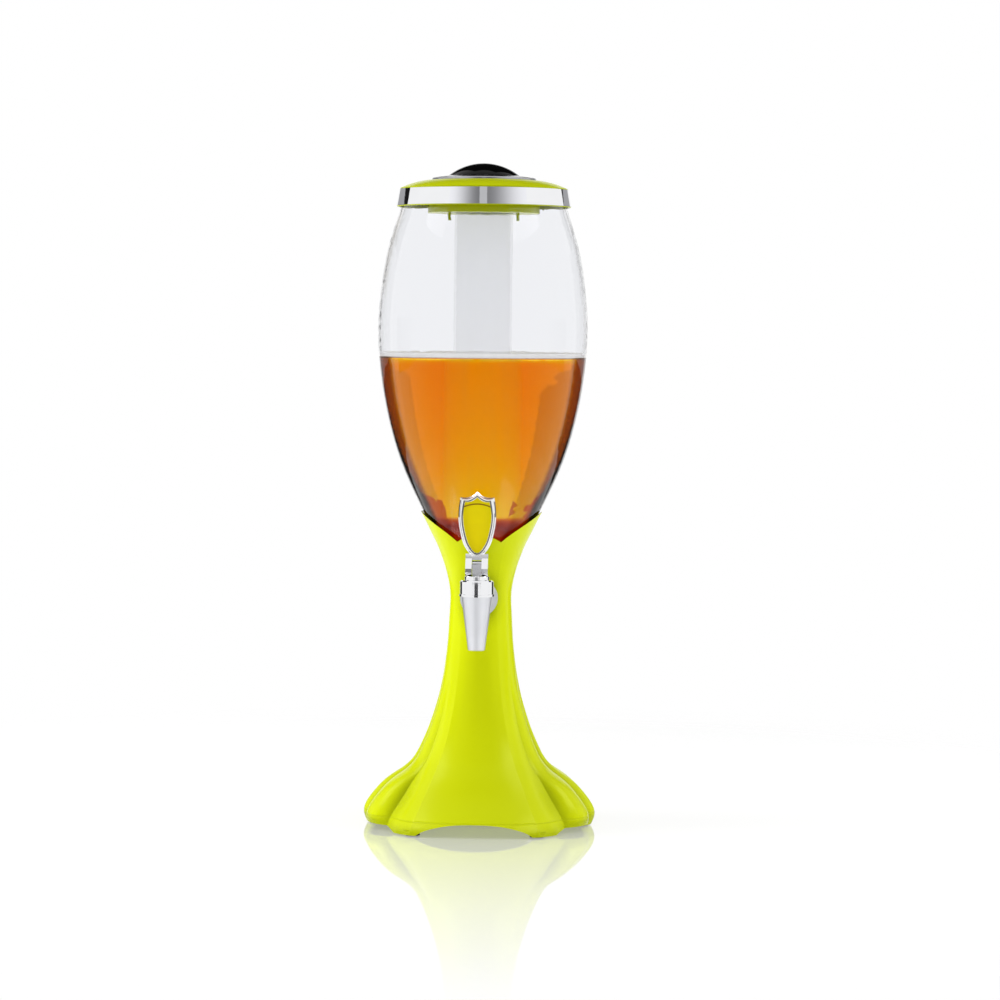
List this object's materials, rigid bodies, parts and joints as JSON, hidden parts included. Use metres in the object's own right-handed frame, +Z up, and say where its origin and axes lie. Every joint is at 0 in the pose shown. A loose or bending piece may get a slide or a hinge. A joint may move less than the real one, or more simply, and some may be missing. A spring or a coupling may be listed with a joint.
{
  "type": "beer tower dispenser",
  "caption": "Tabletop beer tower: clear barrel tank on a flared fluted stand, ice tube hung from the lid, and a lever tap on the neck.",
  "frame": {"origin": "centre of the six foot pads on the table, below the tank's axis", "axes": "+Z up along the tank's axis, -Y towards the tap (front), +X to the right of someone facing the tap"},
  "size_m": [0.1794, 0.1614, 0.51],
  "materials": {
    "lime_plastic": "glossy moulded ABS",
    "clear_tank": "clear polycarbonate",
    "frosted_tube": "frosted polycarbonate",
    "chrome": "bright chrome plate",
    "satin_metal": "satin nickel plate",
    "dark_metal": "dark smoked chrome",
    "black_gloss": "polished",
    "badge_yellow": "enamelled plate",
    "brass": "turned",
    "spring_steel": "drawn wire",
    "silicone": "translucent silicone",
    "black_rubber": "matt rubber"
  },
  "bodies": {
    "tower": {"stand": "lime_plastic", "foot_pads": "black_rubber", "tank": "clear_tank", "stem_insert": "brass", "neck_washer": "silicone", "stem_washer": "silicone", "tap_flange": "chrome", "tap_body": "chrome", "spout": "satin_metal", "tap_bonnet": "chrome", "bonnet_seal": "black_rubber"},
    "lid": {"lid_cover": "lime_plastic", "lid_band": "chrome", "lid_collar": "lime_plastic", "lid_gasket": "silicone", "ice_tube": "frosted_tube"},
    "cap": {"cap_disc": "dark_metal", "cap_knob": "black_gloss", "cap_seal": "silicone"},
    "plunger": {"plunger_stem": "chrome", "plunger_seal": "silicone", "return_spring": "spring_steel"},
    "handle": {"lever": "chrome", "badge_plate": "badge_yellow", "pivot_pin": "spring_steel"}
  },
  "joints": [
    {"name": "lid_lift", "type": "slide", "parent": "tower", "child": "lid", "axis": [0, 0, 1], "range_m": [0, 0.26]},
    {"name": "cap_lift", "type": "slide", "parent": "lid", "child": "cap", "axis": [0, 0, 1], "range_m": [0, 0.035]},
    {"name": "plunger_lift", "type": "slide", "parent": "tower", "child": "plunger", "axis": [0, 0, 1], "range_m": [0, 0.003], "deforming": ["return_spring"]},
    {"name": "lever_tilt", "type": "hinge", "parent": "plunger", "child": "handle", "pos_m": [0, -0.06, 0.2042], "axis": [1, 0, 0], "range_deg": [0, 50], "stiffness_Nm_per_rad": 0.012, "springref_deg": -83.08}
  ],
  "couplings": [
    {"joint": "plunger_lift", "follows": "lever_tilt", "m_per_rad": 0.0034377}
  ]
}
